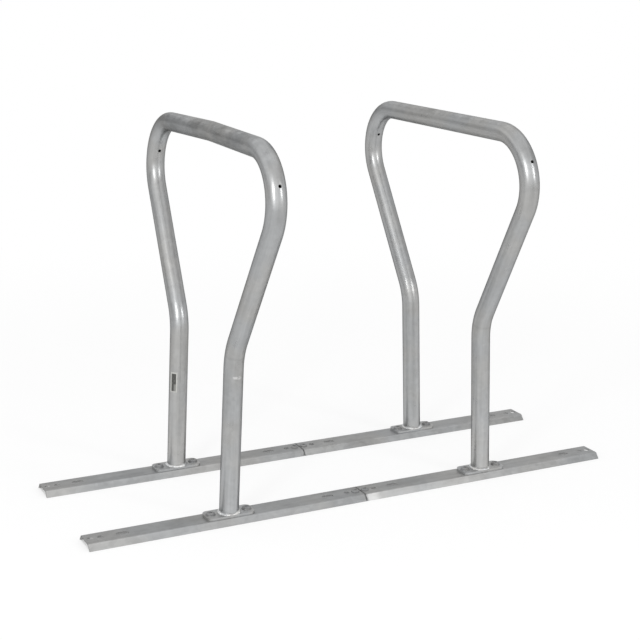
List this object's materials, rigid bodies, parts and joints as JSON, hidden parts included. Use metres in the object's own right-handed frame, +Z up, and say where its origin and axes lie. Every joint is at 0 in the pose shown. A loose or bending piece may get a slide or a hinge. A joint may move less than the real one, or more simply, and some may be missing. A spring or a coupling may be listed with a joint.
{
  "type": "hoop bike rack",
  "caption": "Modular bike rack: flared tube hoops on welded foot plates, bolted to folded steel rails that are spliced end to end and anchored to the ground.",
  "frame": {"origin": "on the ground under the middle of the rack, half way along the rails and half way between them", "axes": "+X along the rails towards the right hoop, +Y from the front rail to the rear rail, +Z up"},
  "size_m": [1.4494, 0.822, 0.9472],
  "materials": {
    "galvanised_tube": "hot-dip galvanised, dull grey with faint spangle",
    "galvanised_rail": "hot-dip galvanised strip, mottled",
    "galvanised_plate": "hot-dip galvanised plate, welded to the tube",
    "galvanised_bar": "hot-dip galvanised bar",
    "zinc_washer": "zinc plated, dulled",
    "zinc_nut": "zinc plated, dulled",
    "screw_steel": "zinc plated, dulled, dark in the socket",
    "blank_label": "blank matt film"
  },
  "bodies": {
    "root": {"hoop_left": "galvanised_tube", "hoop_right": "galvanised_tube", "rail_front_left": "galvanised_rail", "rail_front_right": "galvanised_rail", "rail_rear_left": "galvanised_rail", "rail_rear_right": "galvanised_rail", "foot_plate_left_front": "galvanised_plate", "foot_plate_left_rear": "galvanised_plate", "foot_plate_right_front": "galvanised_plate", "foot_plate_right_rear": "galvanised_plate", "foot_screw_left_front_outer": "screw_steel", "foot_washer_left_front_outer": "zinc_washer", "foot_nut_left_front_outer": "zinc_nut", "foot_screw_left_front_inner": "screw_steel", "foot_washer_left_front_inner": "zinc_washer", "foot_nut_left_front_inner": "zinc_nut", "foot_screw_left_rear_outer": "screw_steel", "foot_washer_left_rear_outer": "zinc_washer", "foot_nut_left_rear_outer": "zinc_nut", "foot_screw_left_rear_inner": "screw_steel", "foot_washer_left_rear_inner": "zinc_washer", "foot_nut_left_rear_inner": "zinc_nut", "foot_screw_right_front_outer": "screw_steel", "foot_washer_right_front_outer": "zinc_washer", "foot_nut_right_front_outer": "zinc_nut", "foot_screw_right_front_inner": "screw_steel", "foot_washer_right_front_inner": "zinc_washer", "foot_nut_right_front_inner": "zinc_nut", "foot_screw_right_rear_outer": "screw_steel", "foot_washer_right_rear_outer": "zinc_washer", "foot_nut_right_rear_outer": "zinc_nut", "foot_screw_right_rear_inner": "screw_steel", "foot_washer_right_rear_inner": "zinc_washer", "foot_nut_right_rear_inner": "zinc_nut", "splice_bar_front": "galvanised_bar", "splice_screw_front_left": "screw_steel", "splice_screw_front_right": "screw_steel", "splice_bar_rear": "galvanised_bar", "splice_screw_rear_left": "screw_steel", "splice_screw_rear_right": "screw_steel", "blank_label": "blank_label"}
  },
  "joints": []
}
